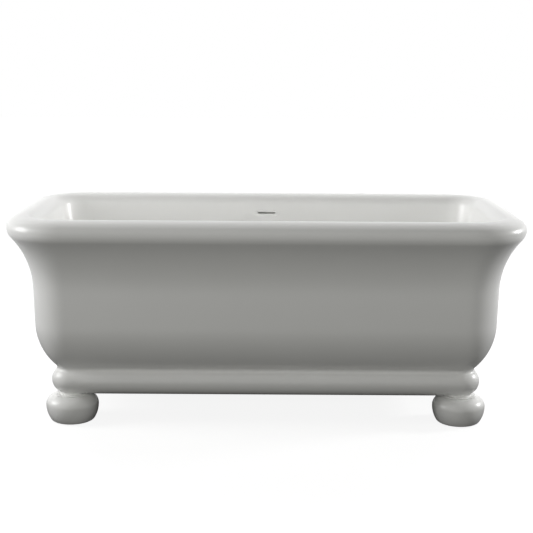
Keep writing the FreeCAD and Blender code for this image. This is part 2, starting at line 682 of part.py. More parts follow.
def hose_path(pts):
    """Wire of straight runs and tangent arcs through the hose's corners."""
    edges = []
    last = pts[0]
    bends = (BACK_EDGE_R + HOSE_GAP + HOSE_R, HOSE_BEND)
    for before, corner, after, r in zip(pts, pts[1:], pts[2:], bends):
        u = (corner - before).normalize()
        w = (after - corner).normalize()
        half = u.getAngle(w) / 2
        back = r * math.tan(half)
        a, b = corner - u * back, corner + w * back
        top = corner + (w - u).normalize() * (r / math.cos(half) - r)
        edges.append(Part.makeLine(last, a))
        edges.append(Part.Arc(a, top, b).toShape())
        last = b
    edges.append(Part.makeLine(last, pts[-1]))
    return Part.Wire(edges)


def make_hose():
    """Overflow hose, with a clip at each end."""
    pts = hose_points()
    path = hose_path(pts)
    down = (pts[1] - pts[0]).normalize()
    bars = []
    for r in (HOSE_R, HOSE_BORE):
        ring = Part.Wire(Part.makeCircle(r, pts[0], down))
        bars.append(path.makePipeShell([ring], True, False))
    save("overflow_hose", bars[0].cut(bars[1]))
    clips = []
    bore = HOSE_R + THREAD_GAP
    for end, way in ((pts[0], down), (pts[-1], V(0, 1, 0))):
        at = end + way * CLIP_INSET
        clip = Part.makeCylinder(bore + CLIP_T, CLIP_W, at, way)
        clips.append(clip.cut(Part.makeCylinder(bore, CLIP_W + 2 * PAST, at - way * PAST, way)))
    save("hose_clips", Part.makeCompound(clips))


def make_overflow():
    """Slot cover, seal and body on the rear wall."""
    back = -SKIN_T - OVER_SEAL_T
    cover = slot_prism(COVER[:2], 0, COVER[2])
    front = [e for e in cover.Edges if min(v.Point.z for v in e.Vertexes) > COVER[2] - NEAR]
    cover = cover.makeFillet(COVER_EDGE_R, front)
    cover = cover.fuse(slot_prism(SLEEVE, back - BODY_WALL, 0))
    cover = cover.cut(slot_prism(SLOT, back - BODY_WALL - PAST, COVER[2] + PAST))
    save("overflow_cover", on_wall(cover.removeSplitter()))
    w, h, d = BODY
    inset = 2 * OVER_SEAL_INSET
    seal = slot_prism((w - inset, h - inset), back, -SKIN_T).cut(slot_prism(SLOT_HOLE, back - PAST, 0))
    save("overflow_seal", on_wall(seal))
    t = BODY_WALL
    body = Part.makeBox(w, h, d, V(-w / 2, -h / 2, back - d))
    out = V(0, -1, 0)
    body = body.fuse(Part.makeCylinder(SPIGOT_R, t + SPIGOT_L, V(0, t - h / 2, HOSE_W), out))
    body = body.cut(Part.makeBox(w - 2 * t, h - 2 * t, d - 2 * t, V(t - w / 2, t - h / 2, back - d + t)))
    mouth = (SLEEVE[0] + 2 * THREAD_GAP, SLEEVE[1] + 2 * THREAD_GAP)
    body = body.cut(slot_prism(mouth, back - t - PAST, back + PAST))
    bore = Part.makeCylinder(SPIGOT_BORE, 2 * t + SPIGOT_L, V(0, t + PAST - h / 2, HOSE_W), out)
    save("overflow_body", on_wall(body.cut(bore).removeSplitter()))


save("basin", make_basin())
save("outer_shell", make_outer_shell())
make_cradle()
make_feet()
make_waste()
make_plug()
make_overflow()
make_hose()
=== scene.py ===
import json
import math
from collections import namedtuple

import bmesh
import bpy
from bpy.props import FloatProperty, FloatVectorProperty, PointerProperty
from mathutils import Euler, Matrix, Vector

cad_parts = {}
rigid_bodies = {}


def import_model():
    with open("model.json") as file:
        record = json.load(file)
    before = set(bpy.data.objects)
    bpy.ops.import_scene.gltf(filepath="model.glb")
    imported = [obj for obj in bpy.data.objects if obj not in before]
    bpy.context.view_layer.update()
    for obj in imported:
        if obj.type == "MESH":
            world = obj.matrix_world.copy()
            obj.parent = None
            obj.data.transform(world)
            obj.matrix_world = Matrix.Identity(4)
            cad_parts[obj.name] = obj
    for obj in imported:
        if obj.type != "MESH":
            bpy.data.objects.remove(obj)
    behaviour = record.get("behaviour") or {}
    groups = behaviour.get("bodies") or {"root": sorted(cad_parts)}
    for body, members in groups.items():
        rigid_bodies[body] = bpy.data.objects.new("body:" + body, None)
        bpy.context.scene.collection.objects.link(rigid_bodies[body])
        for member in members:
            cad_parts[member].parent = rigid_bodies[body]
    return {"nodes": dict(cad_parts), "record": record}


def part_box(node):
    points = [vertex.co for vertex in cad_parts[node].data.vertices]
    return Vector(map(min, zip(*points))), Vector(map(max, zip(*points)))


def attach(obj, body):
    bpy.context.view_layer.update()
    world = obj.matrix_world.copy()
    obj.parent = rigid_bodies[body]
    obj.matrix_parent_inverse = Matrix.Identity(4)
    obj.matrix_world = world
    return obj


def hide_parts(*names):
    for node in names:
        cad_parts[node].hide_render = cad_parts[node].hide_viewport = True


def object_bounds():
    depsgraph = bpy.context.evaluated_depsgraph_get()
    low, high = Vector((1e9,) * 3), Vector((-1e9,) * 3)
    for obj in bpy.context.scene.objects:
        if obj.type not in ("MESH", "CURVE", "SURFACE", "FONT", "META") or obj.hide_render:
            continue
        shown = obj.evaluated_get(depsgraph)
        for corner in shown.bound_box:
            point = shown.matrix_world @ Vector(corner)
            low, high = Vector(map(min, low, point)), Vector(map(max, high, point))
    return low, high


bl_info = {
    "name": "Footed bathtub",
    "version": (1, 0, 0),
    "blender": (4, 5, 0),
    "location": "View3D > Sidebar > Bathtub",
    "description": "Dresses the frame of a footed bathtub and sets its studio",
    "category": "Object",
}

for start_object in list(bpy.data.objects):
    bpy.data.objects.remove(start_object)

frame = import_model()
CAD_LOW, CAD_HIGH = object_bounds()

# Sides of the feet along and across the tub
CORNERS = {"front_left": (-1, -1), "front_right": (1, -1), "rear_left": (-1, 1), "rear_right": (1, 1)}
TUB = "tub"

# Places that come from the frame, in metres
BUN_LOW, BUN_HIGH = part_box("foot_bun_front_right")
RING_LOW, RING_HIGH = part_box("neck_ring_front_right")
CAP_LOW, CAP_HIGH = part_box("plug_cap")
COVER_LOW, COVER_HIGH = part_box("overflow_cover")
FOOT_X = (BUN_LOW.x + BUN_HIGH.x) / 2
FOOT_Y = -(BUN_LOW.y + BUN_HIGH.y) / 2
RIM_OUT = CAD_HIGH.x - FOOT_X
RIM_TOP = CAD_HIGH.z
SEAM_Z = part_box("outer_shell")[1].z
PLATE_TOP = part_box("long_rail_front")[0].z
BOARD_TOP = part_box("base_board")[1].z
BOSS_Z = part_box("basin")[0].z
BUN_R = (BUN_HIGH.x - BUN_LOW.x) / 2
RING_R = (RING_HIGH.x - RING_LOW.x) / 2
CAP_R = (CAP_HIGH.x - CAP_LOW.x) / 2


# Settings

def length(name, description, default):
    """Property for a size in metres."""
    return FloatProperty(name=name, description=description, default=default, unit="LENGTH", precision=4)


def angle(name, description, degrees):
    """Property for an angle, given in degrees."""
    return FloatProperty(name=name, description=description, unit="ROTATION",
                         default=math.radians(degrees))


def power(name, description, watts):
    """Property for the power of a lamp."""
    return FloatProperty(name=name, description=description, default=watts, subtype="POWER")


def colour(name, description, default):
    """Property for a linear colour."""
    return FloatVectorProperty(name=name, description=description, default=default, subtype="COLOR",
                               min=0.0, max=1.0)


class BathtubBodySizes(bpy.types.PropertyGroup):
    """Section of the tub, measured out from the line that a corner turns round."""
    roll_width: length("Rim roll width", "From the crest of the rim to its outer tip", 0.057)
    roll_height: length("Rim roll height", "From the tip of the rim up to its crest", 0.037)
    tip_radius: length("Rim tip radius", "Upper turn of the rim's outer edge", 0.028)
    nose_radius: length("Rim nose radius", "Lower turn of the rim's outer edge", 0.042)
    lip_in: length("Lip inside", "Inner face of the lip that sits on the shell", 0.166)
    channel_radius: length("Channel radius", "Hollow under the rim, behind its lip", 0.030)
    wall_out: length("Wall place", "Foot of the flare, out from the corner line", 0.1102)
    wall_lean: angle("Wall lean", "Lean of the outer wall", 1.0)
    flare_radius: length("Flare radius", "Hollow sweep below the rim", 0.252)
    belly_height: length("Belly height", "Height at which the belly starts to turn in", 0.323)
    belly_radius: length("Belly radius", "Turn of the belly", 0.196)
    base_roll_ring: length("Base roll ring", "Middle of the base roll, out from the corner line", 0.019)
    base_roll_radius: length("Base roll radius", "Half-round roll along the base", 0.043)
    base_roll_height: length("Base roll height", "Height of the middle of the base roll", 0.137)
    crease_radius: length("Crease radius", "Soft crease between belly and base roll", 0.010)
    skin: length("Skin", "Thickness of both skins", 0.006)
    plate_open_x: length("Hatch inset along", "Edge of the hatch in the bottom plate", 0.076)
    plate_open_y: length("Hatch inset across", "Edge of the hatch in the bottom plate", 0.081)
    plate_open_radius: length("Hatch corner", "Corner radius of the hatch", 0.040)
    boss_radius: length("Foot boss radius", "Round boss above each foot", 0.040)


class BathtubBasinSizes(bpy.types.PropertyGroup):
    """Inside of the tub."""
    wall_room: length("Wall room", "From the shell in to the inner wall, at the foot of the flare", 0.0348)
    crease_room: length("Crease room", "From the shell's crease in to the inner wall, at the floor", 0.0034)
    inner_edge_radius: length("Inner edge radius", "Soft inner round of the rim", 0.040)
    join_drop: length("Join drop", "Depth below the crest at which the rim runs into the wall", 0.050)
    floor_corner_radius: length("Floor corner", "Corner radius of the inner wall at the floor", 0.105)
    floor_edge_radius: length("Floor edge radius", "Turn from the floor into the wall", 0.070)
    floor_thickness: length("Floor thickness", "Thickness of the basin's floor", 0.007)
    recess_radius: length("Waste recess", "Recess that takes the waste flange", 0.038)
    recess_depth: length("Recess depth", "Depth of the waste recess", 0.005)
    hole_radius: length("Waste hole", "Hole for the waste", 0.025)
    boss_radius: length("Waste boss", "Thick part of the floor round the waste", 0.052)
    slot_length: length("Overflow slot length", "Slot through the rear wall", 0.065)
    slot_height: length("Overflow slot height", "Slot through the rear wall", 0.010)


class BathtubFootSizes(bpy.types.PropertyGroup):
    """Turned feet."""
    widest_height: length("Widest height", "Height at which the bun is widest", 0.054)
    side_radius: length("Side radius", "Curve of the bun's side below that height", 0.085)
    base_radius: length("Base radius", "Round lower edge of the bun", 0.016)
    recess_radius: length("Glide recess", "Recess under the bun for its glide", 0.0315)
    recess_depth: length("Glide recess depth", "Height of the recess ceiling", 0.006)
    stud_hole: length("Stud hole", "Radius of the hole through the neck ring", 0.0066)


class BathtubFittingSizes(bpy.types.PropertyGroup):
    """Push plug."""
    cap_dome: length("Cap dome", "How much the cap's middle stands above its edge", 0.0022)
    cap_edge: length("Cap edge", "Round edge of the cap", 0.0025)


class BathtubFinishes(bpy.types.PropertyGroup):
    """Colours of the finishes."""
    tub_white: colour("Tub white", "Gloss white of the tub", (0.90, 0.90, 0.887))
    foot_white: colour("Foot white", "Gloss white of the feet", (0.90, 0.90, 0.887))
    trim_white: colour("Trim white", "Overflow cover", (0.90, 0.90, 0.887))
    board: colour("Board", "Plywood under the basin", (0.50, 0.34, 0.19))
    rail: colour("Rail", "Painted rails", (0.060, 0.064, 0.068))
    zinc: colour("Zinc", "Plated fasteners", (0.58, 0.58, 0.56))
    brass: colour("Brass", "Inserts and cartridge", (0.64, 0.46, 0.20))
    nylon: colour("Nylon", "Levelling glides", (0.050, 0.050, 0.054))
    chrome: colour("Chrome", "Waste flange and plug", (0.80, 0.81, 0.82))
    rubber: colour("Rubber", "Seals", (0.022, 0.022, 0.022))
    pipe: colour("Pipe", "Moulded waste and overflow bodies", (0.66, 0.66, 0.63))
    hose: colour("Hose", "Overflow hose", (0.25, 0.26, 0.27))


class BathtubStage(bpy.types.PropertyGroup):
    """Studio: floor, lamps and camera."""
    floor: colour("Floor", "Floor as the tub's shade sees it", (0.03, 0.03, 0.03))
    ambient: FloatProperty(name="Ambient", description="Level of the light from all round", default=0.05)
    left_power: power("Left lamp", "Lamp on the left", 38.0)
    left_back_power: power("Left back lamp", "Soft lamp behind on the left", 40.0)
    right_power: power("Right lamp", "Lamp on the right", 37.0)
    right_back_power: power("Right back lamp", "Soft lamp behind on the right", 39.0)
    front_power: power("Front lamp", "Fill lamp above the camera", 49.0)
    camera_place: FloatVectorProperty(name="Camera place", description="Where the camera stands",
                                      default=(0.00125, -3.702, 1.1925), subtype="TRANSLATION")
    camera_pitch: angle("Camera pitch", "How far the camera looks down", 12.645)
    camera_roll: angle("Camera roll", "Small tilt of the camera", 0.348)
    lens: FloatProperty(name="Lens", description="Focal length", default=77.67, unit="CAMERA")
    shift_y: FloatProperty(name="Shift", description="Upward shift of the picture", default=0.0572)


class BathtubSettings(bpy.types.PropertyGroup):
    """All settings of the bathtub."""
    body: PointerProperty(type=BathtubBodySizes)
    basin: PointerProperty(type=BathtubBasinSizes)
    foot: PointerProperty(type=BathtubFootSizes)
    fitting: PointerProperty(type=BathtubFittingSizes)
    finish: PointerProperty(type=BathtubFinishes)
    stage: PointerProperty(type=BathtubStage)


# Finishes

SHADER = "Principled BSDF"
NO_STRETCH = (1.0, 1.0, 1.0)
# Range that most of a noise texture covers
NOISE_LOW = 0.1
NOISE_HIGH = 0.9
# Polished white: refraction and thin clear coat
GLOSS_IOR = 1.49
COAT_WEIGHT = 0.15
COAT_ROUGHNESS = 0.16
# How much finer the grain is than the patches of colour, on metal and on mouldings
METAL_GRAIN = 12
MOULDED_GRAIN = 20


def new_finish(name, base, roughness, metallic=0.0):
    """Material with a Principled shader whose steady values are on its own sockets."""
    material = bpy.data.materials.new(name)
    material.use_nodes = True
    shader = material.node_tree.nodes[SHADER]
    shader.inputs["Base Color"].default_value = (*base, 1.0)
    shader.inputs["Roughness"].default_value = roughness
    shader.inputs["Metallic"].default_value = metallic
    return material


def noise(material, scale, detail, stretch=NO_STRETCH, distortion=0.0):
    """Noise texture in the object's own coordinates."""
    nodes, links = material.node_tree.nodes, material.node_tree.links
    place = nodes.new("ShaderNodeTexCoord")
    mapping = nodes.new("ShaderNodeMapping")
    mapping.inputs["Scale"].default_value = stretch
    texture = nodes.new("ShaderNodeTexNoise")
    texture.inputs["Scale"].default_value = scale
    texture.inputs["Detail"].default_value = detail
    texture.inputs["Distortion"].default_value = distortion
    links.new(place.outputs["Object"], mapping.inputs["Vector"])
    links.new(mapping.outputs["Vector"], texture.inputs["Vector"])
    return texture


def shade(base, factor):
    """A colour made lighter or darker."""
    return tuple(min(1.0, c * factor) for c in base)


def mottle(material, texture, base, dark, light, low=0.35, high=0.65):
    """Let a texture run the base colour from a darker to a lighter shade of it."""
    nodes, links = material.node_tree.nodes, material.node_tree.links
    ramp = nodes.new("ShaderNodeValToRGB")
    ends = ramp.color_ramp.elements
    ends[0].position = low
    ends[0].color = (*shade(base, dark), 1.0)
    ends[1].position = high
    ends[1].color = (*shade(base, light), 1.0)
    links.new(texture.outputs[0], ramp.inputs["Fac"])
    links.new(ramp.outputs["Color"], nodes[SHADER].inputs["Base Color"])


def vary_roughness(material, texture, roughness, least, most):
    """Let a texture run the roughness between two shares of its value."""
    nodes, links = material.node_tree.nodes, material.node_tree.links
    spread = nodes.new("ShaderNodeMapRange")
    spread.inputs["From Min"].default_value = NOISE_LOW
    spread.inputs["From Max"].default_value = NOISE_HIGH
    spread.inputs["To Min"].default_value = roughness * least
    spread.inputs["To Max"].default_value = min(1.0, roughness * most)
    links.new(texture.outputs[0], spread.inputs["Value"])
    links.new(spread.outputs["Result"], nodes[SHADER].inputs["Roughness"])


def relief(material, texture, strength, depth):
    """Let a texture raise fine relief, on top of any relief that is there."""
    nodes, links = material.node_tree.nodes, material.node_tree.links
    bump = nodes.new("ShaderNodeBump")
    bump.inputs["Strength"].default_value = strength
    bump.inputs["Distance"].default_value = depth
    links.new(texture.outputs[0], bump.inputs["Height"])
    normal = nodes[SHADER].inputs["Normal"]
    if normal.is_linked:
        links.new(normal.links[0].from_socket, bump.inputs["Normal"])
    links.new(bump.outputs["Normal"], normal)


def gloss_white(name, base, roughness):
    """Polished white moulding: faint clouding, slow ripple and a fine skin."""
    material = new_finish(name, base, roughness)
    cloud = noise(material, scale=3.0, detail=3.0)
    mottle(material, cloud, base, dark=0.98, light=1.02, low=NOISE_LOW, high=NOISE_HIGH)
    wipe = noise(material, scale=9.0, detail=4.0)
    vary_roughness(material, wipe, roughness, least=0.88, most=1.12)
    ripple = noise(material, scale=5.0, detail=1.0)
    relief(material, ripple, strength=0.12, depth=0.002)
    skin = noise(material, scale=420.0, detail=2.0)
    relief(material, skin, strength=0.05, depth=0.0002)
    shader = material.node_tree.nodes[SHADER]
    shader.inputs["IOR"].default_value = GLOSS_IOR
    shader.inputs["Coat Weight"].default_value = COAT_WEIGHT
    shader.inputs["Coat Roughness"].default_value = COAT_ROUGHNESS
    return material


def plywood(base):
    """Ply board: long figure and pores along the board."""
    material = new_finish("board_plywood", base, roughness=0.62)
    figure = noise(material, scale=14.0, detail=6.0, stretch=(0.25, 4.0, 4.0), distortion=0.6)
    mottle(material, figure, base, dark=0.72, light=1.22, low=0.3, high=0.7)
    pores = noise(material, scale=160.0, detail=4.0, stretch=(0.08, 3.0, 3.0))
    relief(material, pores, strength=0.25, depth=0.0004)
    return material


def rail_paint(base):
    """Satin paint with a fine orange peel."""
    material = new_finish("rail_paint", base, roughness=0.38)
    patches = noise(material, scale=12.0, detail=4.0)
    mottle(material, patches, base, dark=0.85, light=1.2)
    peel = noise(material, scale=700.0, detail=1.0)
    relief(material, peel, strength=0.12, depth=0.0002)
    return material


def plated_metal(name, base, roughness, cells):
    """Plated or turned metal: patches of slightly different sheen."""
    material = new_finish(name, base, roughness, metallic=1.0)
    patches = noise(material, scale=cells, detail=5.0)
    mottle(material, patches, base, dark=0.85, light=1.1)
    vary_roughness(material, patches, roughness, least=0.75, most=1.3)
    grain = noise(material, scale=cells * METAL_GRAIN, detail=2.0)
    relief(material, grain, strength=0.04, depth=0.0001)
    return material


def moulded(name, base, roughness, grain):
    """Matt moulded plastic or rubber with a fine grain."""
    material = new_finish(name, base, roughness)
    patches = noise(material, scale=grain / MOULDED_GRAIN, detail=3.0)
    mottle(material, patches, base, dark=0.9, light=1.1)
    fine = noise(material, scale=grain, detail=2.0)
    vary_roughness(material, fine, roughness, least=0.9, most=1.1)
    relief(material, fine, strength=0.15, depth=0.0002)
    return material


def finish(slot):
    """The finish of a material slot of the record, made once."""
    found = bpy.data.materials.get("finish_" + slot)
    if found:
        return found
    tones = bpy.context.scene.bathtub.finish
    makers = {
        "tub_white": lambda: gloss_white("tub_gloss", tones.tub_white, roughness=0.33),
        "foot_white": lambda: gloss_white("foot_gloss", tones.foot_white, roughness=0.33),
        "overflow_trim": lambda: gloss_white("trim_gloss", tones.trim_white, roughness=0.18),
        "ply": lambda: plywood(tones.board),
        "rail_steel": lambda: rail_paint(tones.rail),
        "zinc_steel": lambda: plated_metal("zinc_plate", tones.zinc, roughness=0.34, cells=90.0),
        "insert_brass": lambda: plated_metal("turned_brass", tones.brass, roughness=0.28, cells=140.0),
        "waste_chrome": lambda: plated_metal("chrome_plate", tones.chrome, roughness=0.07, cells=30.0),
        "glide_nylon": lambda: moulded("glide_nylon", tones.nylon, roughness=0.55, grain=900.0),
        "seal_rubber": lambda: moulded("seal_rubber", tones.rubber, roughness=0.72, grain=1200.0),
        "pipe_plastic": lambda: moulded("pipe_plastic", tones.pipe, roughness=0.42, grain=800.0),
        "hose_grey": lambda: moulded("hose_plastic", tones.hose, roughness=0.50, grain=800.0),
    }
    material = makers[slot]()
    material.name = "finish_" + slot
    return material


def dress_nodes(*names):
    """Give frame nodes the finish of their slot in the record."""
    slots = {part["node"]: part["material_slot"] for part in frame["record"]["subparts"]}
    for name in names:
        node = frame["nodes"][name]
        node.data.materials.clear()
        node.data.materials.append(finish(slots[name]))


# Meshes

# Steps of a tub corner, of a full turn, of a slot's round end and of half a dome
CORNER_STEPS = 28
TURN_STEPS = 128
SLOT_END_STEPS = 16
DOME_STEPS = 12
# Largest step of an arc in a section, though every arc has two steps or more
ARC_STEP = math.radians(3.0)
# A crease that turns by more than this shows as an edge
SHARP = math.radians(38.0)
# Distance from the end of a straight stretch to the extra point that keeps its shade even, in metres
EDGE = 0.004
# Reach of the slot's cutter to each side of the wall's face, in metres
CUT_REACH = 0.02


def on_circle(centre, radius, turn):
    """Point of a circle in the section plane."""
    return (centre[0] + radius * math.cos(turn), centre[1] + radius * math.sin(turn))


def arc_points(centre, radius, start, end):
    """Points of an arc in the section plane, both ends included."""
    count = max(2, int(abs(end - start) / ARC_STEP) + 1)
    return [on_circle(centre, radius, start + (end - start) * k / count) for k in range(count + 1)]


def turn_to(centre, point):
    """Angle of a point seen from a centre."""
    return math.atan2(point[1] - centre[1], point[0] - centre[0])


def circles_meet(low, low_r, high, high_r):
    """Meeting point of two circles on the outer side."""
    dx, dz = high[0] - low[0], high[1] - low[1]
    apart = math.hypot(dx, dz)
    along = (low_r * low_r - high_r * high_r + apart * apart) / (2 * apart)
    aside = math.sqrt(low_r * low_r - along * along)
    return (low[0] + (along * dx + aside * dz) / apart, low[1] + (along * dz - aside * dx) / apart)


def straight(start, end):
    """Points on a line after its start, with one close to each end so that its shade stays even."""
    dx, dz = end[0] - start[0], end[1] - start[1]
    run = math.hypot(dx, dz)
    return [(start[0] + dx * far / run, start[1] + dz * far / run) for far in (EDGE, run - EDGE, run)]


def tub_ring(mesh, half_x, half_y, radius, z):
    """Ring of vertices on a rectangle with round corners, with one vertex just past each corner's ends."""
    ring = []
    for k, (sx, sy) in enumerate(((1, 1), (-1, 1), (-1, -1), (1, -1))):
        for step in range(-1, CORNER_STEPS + 2):
            turn = min(max(step, 0), CORNER_STEPS)
            a = math.pi / 2 * (k + turn / CORNER_STEPS)
            past = EDGE * (step - turn)
            x = sx * (half_x - radius) + radius * math.cos(a) - past * math.sin(a)
            y = sy * (half_y - radius) + radius * math.sin(a) + past * math.cos(a)
            ring.append(mesh.verts.new((x, y, z)))
    return ring


def section_ring(mesh, out, z):
    """Ring at one point of the section, out from the corner lines."""
    return tub_ring(mesh, FOOT_X + out, FOOT_Y + out, out, z)


def round_ring(mesh, radius, z, x=0.0, y=0.0):
    """Ring of vertices on a circle."""
    turns = [2 * math.pi * k / TURN_STEPS for k in range(TURN_STEPS)]
    return [mesh.verts.new((x + radius * math.cos(a), y + radius * math.sin(a), z)) for a in turns]


def join_rings(mesh, rings, closed=False):
    """Faces between rings of equal count."""
    pairs = list(zip(rings, rings[1:]))
    if closed:
        pairs.append((rings[-1], rings[0]))
    for low, high in pairs:
        for k in range(len(low)):
            n = (k + 1) % len(low)
            mesh.faces.new((low[k], low[n], high[n], high[k]))


def fill_between(mesh, outer, inner):
    """Flat faces between an outer ring and a ring inside it."""
    edges = []
    for ring in (outer, inner):
        for k in range(len(ring)):
            pair = (ring[k], ring[(k + 1) % len(ring)])
            edges.append(mesh.edges.get(pair) or mesh.edges.new(pair))
    bmesh.ops.triangle_fill(mesh, use_beauty=True, edges=edges)


def lathe(mesh, section, x=0.0, y=0.0, closed=False):
    """Surface turned from a section of (radius, height) points; a point on the axis closes it."""
    rings = [round_ring(mesh, radius, z, x, y) for radius, z in section if radius > 0]
    join_rings(mesh, rings, closed)
    if closed:
        return
    for (radius, z), ring in ((section[0], rings[0]), (section[-1], rings[-1])):
        if radius > 0:
            continue
        middle = mesh.verts.new((x, y, z))
        for k in range(len(ring)):
            mesh.faces.new((ring[k], ring[(k + 1) % len(ring)], middle))


def take_data(mesh, name):
    """Mesh data from a bmesh, which is freed."""
    data = bpy.data.meshes.new(name)
    mesh.to_mesh(data)
    mesh.free()
    return data


def add_object(name, data):
    """New object with this data, linked into the scene."""
    added = bpy.data.objects.new(name, data)
    bpy.context.scene.collection.objects.link(added)
    return added


def smooth_faces(data):
    """Smooth shading, with edges where the surface turns sharply."""
    data.polygons.foreach_set("use_smooth", [True] * len(data.polygons))
    data.set_sharp_from_angle(angle=SHARP)


def finish_mesh(mesh, name, slot, body, node):
    """Turn a bmesh into a piece that rides on a body and stands for a frame node."""
    bmesh.ops.recalc_face_normals(mesh, faces=mesh.faces)
    data = take_data(mesh, name)
    smooth_faces(data)
    data.materials.append(finish(slot))
    piece = add_object(name, data)
    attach(piece, body)
    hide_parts(node)
    return piece


# Outer shell

class TubSection:
    """Circles of the tub's section, worked out from the sizes."""

    def __init__(self, sizes):
        tip = (RIM_OUT, RIM_TOP - sizes.roll_height)
        crest_run = sizes.roll_width - sizes.tip_radius
        self.crest_turn = math.pi / 2 - 2 * math.atan((sizes.roll_height - sizes.tip_radius) / crest_run)
        self.crest_r = sizes.tip_radius + crest_run / math.cos(self.crest_turn)
        self.crest_c = (RIM_OUT - sizes.roll_width, RIM_TOP - self.crest_r)
        self.tip_c = (tip[0] - sizes.tip_radius, tip[1])
        self.nose_c = (tip[0] - sizes.nose_radius, tip[1])
        self.seam_turn = math.asin((SEAM_Z - tip[1]) / sizes.nose_radius)
        reach = sizes.wall_out - self.nose_c[0] + sizes.flare_radius * math.cos(sizes.wall_lean)
        self.nose_turn = math.acos(reach / (sizes.nose_radius + sizes.flare_radius))
        self.flare_c = on_circle(self.nose_c, sizes.nose_radius + sizes.flare_radius, -self.nose_turn)
        self.wall_top = on_circle(self.flare_c, sizes.flare_radius, math.pi - sizes.wall_lean)
        run = self.wall_top[1] - sizes.belly_height
        wall_end = (self.wall_top[0] - run * math.tan(sizes.wall_lean), sizes.belly_height)
        self.belly_c = on_circle(wall_end, sizes.belly_radius, math.pi - sizes.wall_lean)
        self.roll_c = (sizes.base_roll_ring, sizes.base_roll_height)
        self.crease_c = circles_meet(self.roll_c, sizes.base_roll_radius + sizes.crease_radius,
                                     self.belly_c, sizes.belly_radius + sizes.crease_radius)
        self.crease_in = circles_meet(self.roll_c, sizes.base_roll_radius - sizes.skin,
                                      self.belly_c, sizes.belly_radius - sizes.skin)


def outer_profile(sizes, section):
    """Outside of the shell from the seam under the rim down to the bottom plate."""
    nose, flare, belly = section.nose_c, section.flare_c, section.belly_c
    crease, roll = section.crease_c, section.roll_c
    lean, nose_turn = sizes.wall_lean, section.nose_turn
    points = arc_points(nose, sizes.nose_radius, section.seam_turn, -nose_turn)
    points += arc_points(flare, sizes.flare_radius, math.pi - nose_turn, math.pi - lean)[1:]
    points += straight(points[-1], on_circle(belly, sizes.belly_radius, -lean))
    points += arc_points(belly, sizes.belly_radius, -lean, turn_to(belly, crease))[1:]
    crease_end = turn_to(crease, roll) + 2 * math.pi
    points += arc_points(crease, sizes.crease_radius, turn_to(crease, belly), crease_end)[1:]
    points += arc_points(roll, sizes.base_roll_radius, turn_to(roll, crease), -math.pi / 2)[1:]
    return points


def inner_profile(sizes, section):
    """Inside of the shell from the bottom plate up to the seam."""
    flare, belly, roll, crease = section.flare_c, section.belly_c, section.roll_c, section.crease_in
    lean = sizes.wall_lean
    thin_roll = sizes.base_roll_radius - sizes.skin
    thin_belly = sizes.belly_radius - sizes.skin
    far_flare = sizes.flare_radius + sizes.skin
    roll_start = math.asin((PLATE_TOP - sizes.base_roll_height) / thin_roll)
    flare_end = math.pi - math.acos((flare[0] - sizes.lip_in) / far_flare)
    points = arc_points(roll, thin_roll, roll_start, turn_to(roll, crease))
    points += arc_points(belly, thin_belly, turn_to(belly, crease), -lean)[1:]
    points += arc_points(flare, far_flare, math.pi - lean, flare_end)
    points.append((sizes.lip_in, SEAM_Z))
    return points


def build_outer_shell(sizes):
    """Flared outer skin with its belly, base roll, bottom plate and foot bosses."""
    section = TubSection(sizes)
    mesh = bmesh.new()
    plate_z = sizes.base_roll_height - sizes.base_roll_radius
    open_x, open_y = FOOT_X - sizes.plate_open_x, FOOT_Y - sizes.plate_open_y
    rings = [section_ring(mesh, out, z) for out, z in outer_profile(sizes, section)]
    rings += [tub_ring(mesh, open_x, open_y, sizes.plate_open_radius, z) for z in (plate_z, PLATE_TOP)]
    rings += [section_ring(mesh, out, z) for out, z in inner_profile(sizes, section)]
    join_rings(mesh, rings, closed=True)
    boss_r = sizes.boss_radius
    boss = [(0, PLATE_TOP), (boss_r, PLATE_TOP), (boss_r, RING_HIGH.z), (0, RING_HIGH.z)]
    for sx, sy in CORNERS.values():
        lathe(mesh, boss, sx * FOOT_X, sy * FOOT_Y)
    finish_mesh(mesh, "shell_skin", "tub_white", TUB, "outer_shell")


# Basin

class InnerWall:
    """Inner wall of the basin, worked out from the sizes."""

    def __init__(self, basin, sizes, section):
        self.edge_c = (RIM_OUT - sizes.roll_width, RIM_TOP - basin.inner_edge_radius)
        self.edge_r = basin.inner_edge_radius
        self.floor_z = BOARD_TOP + basin.floor_thickness
        self.floor_corner = basin.floor_corner_radius
        self.join_z = RIM_TOP - basin.join_drop
        flare_foot = sizes.wall_out - sizes.skin - basin.wall_room
        floor_edge = section.crease_in[0] - basin.crease_room
        self.lean = max(self.lean_past(flare_foot, section.wall_top[1]),
                        self.lean_past(floor_edge, self.floor_z))

    def lean_past(self, out, z):
        """Lean of a wall that passes a point and runs into the rim's inner round."""
        dx, dz = self.edge_c[0] - out, self.edge_c[1] - z
        return math.acos(self.edge_r / math.hypot(dx, dz)) - math.atan2(dz, dx)

    def out(self, z):
        """Place of the inner wall at a height, out from the corner line."""
        drop = self.edge_c[1] - z
        return self.edge_c[0] - self.edge_r / math.cos(self.lean) - drop * math.tan(self.lean)

    def corner(self, z):
        """Corner radius of the inner wall at a height."""
        share = (z - self.floor_z) / (self.join_z - self.floor_z)
        return self.floor_corner + (self.out(self.join_z) - self.floor_corner) * share


